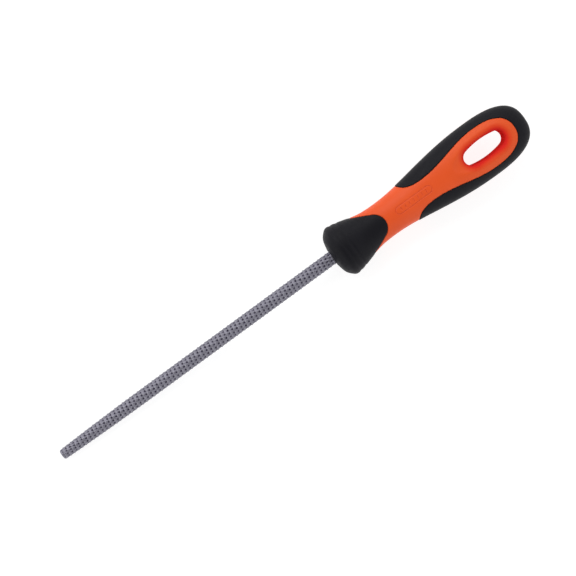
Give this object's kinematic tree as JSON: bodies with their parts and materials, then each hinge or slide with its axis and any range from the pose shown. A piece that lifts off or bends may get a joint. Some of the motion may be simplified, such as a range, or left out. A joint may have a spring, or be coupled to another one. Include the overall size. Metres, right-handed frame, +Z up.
{
  "type": "round wood rasp",
  "caption": "Round wood rasp with staggered pointed teeth, a tapered tip and a soft-gripped handle with a hanging hole.",
  "frame": {"origin": "middle of the hanging hole, on the rasp's axis, halfway through the handle", "axes": "+X along the rasp towards its tip, +Z up through the hanging hole, +Y across the handle's width"},
  "size_m": [0.3402, 0.0366, 0.0288],
  "materials": {
    "tool_steel": "bare hardened steel, dull grey, dark between the teeth",
    "orange_plastic": "satin moulded polypropylene",
    "black_soft_grip": "matt thermoplastic rubber with a fine moulded grain"
  },
  "bodies": {
    "root": {"rasp_blade": "tool_steel", "handle_core": "orange_plastic", "front_grip": "black_soft_grip", "rear_grip": "black_soft_grip"}
  },
  "joints": []
}
